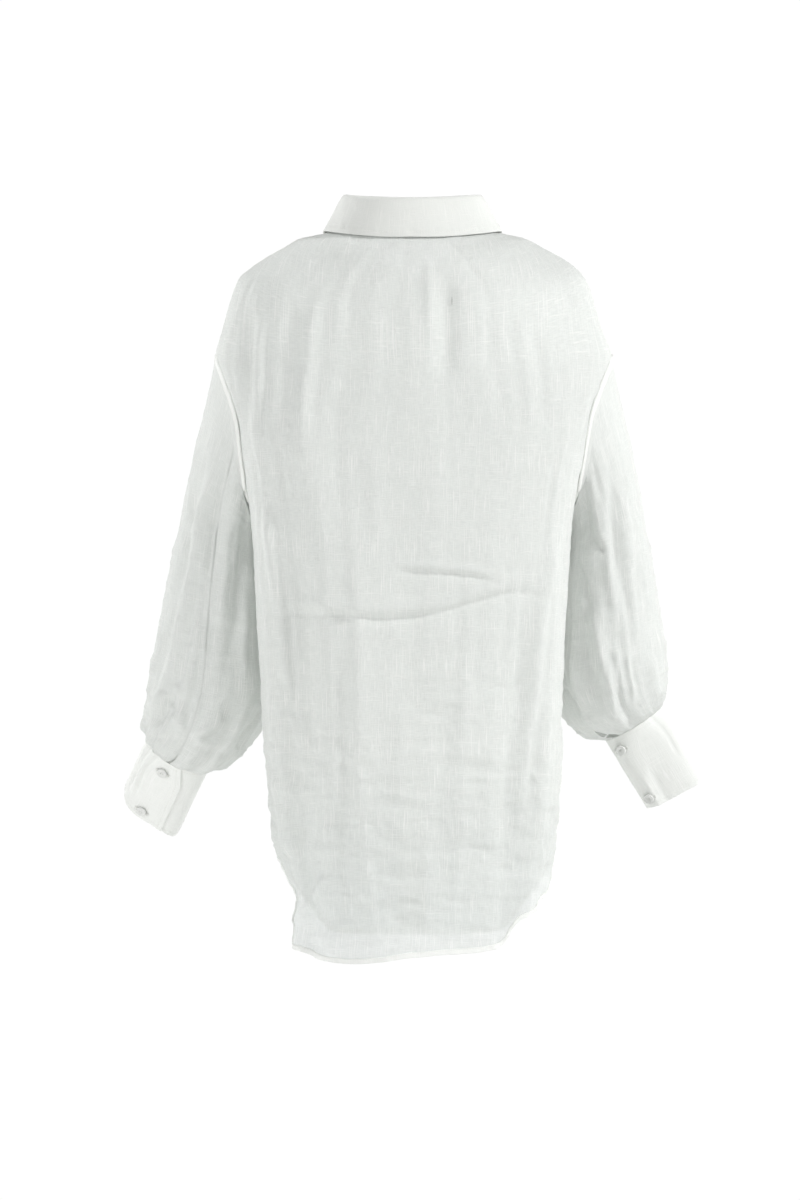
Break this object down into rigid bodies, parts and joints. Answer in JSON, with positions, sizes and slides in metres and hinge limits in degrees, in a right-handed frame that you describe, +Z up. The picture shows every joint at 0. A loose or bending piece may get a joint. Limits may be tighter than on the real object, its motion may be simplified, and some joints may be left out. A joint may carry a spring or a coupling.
{
  "type": "ramie shirt",
  "caption": "Oversized off-white ramie shirt, filled out and hollow, with a turned-down collar, dropped shoulders, full gathered sleeves, deep cuffs and a curved shirt-tail hem.",
  "frame": {"origin": "base of the neck, where the wearer's shoulders hold the shirt, on the centre line", "axes": "+Z up, -Y towards the front of the shirt, +X towards the wearer's left"},
  "size_m": [0.6219, 0.3209, 0.8107],
  "materials": {
    "ramie_cloth": "slubby, slightly sheer plain weave",
    "firm_cloth": "smooth doubled plain weave, opaque",
    "button": "pale glossy plastic"
  },
  "bodies": {
    "root": {"back": "ramie_cloth", "front_left": "ramie_cloth", "front_right": "ramie_cloth", "placket": "firm_cloth", "collar_stand": "firm_cloth", "collar_fall": "firm_cloth", "sleeve_left": "ramie_cloth", "sleeve_right": "ramie_cloth", "cuff_left": "firm_cloth", "cuff_right": "firm_cloth", "collar_button": "button", "front_button_1": "button", "front_button_2": "button", "front_button_3": "button", "front_button_4": "button", "front_button_5": "button", "front_button_6": "button", "cuff_button_left_1": "button", "cuff_button_left_2": "button", "cuff_button_right_1": "button", "cuff_button_right_2": "button"}
  },
  "joints": []
}
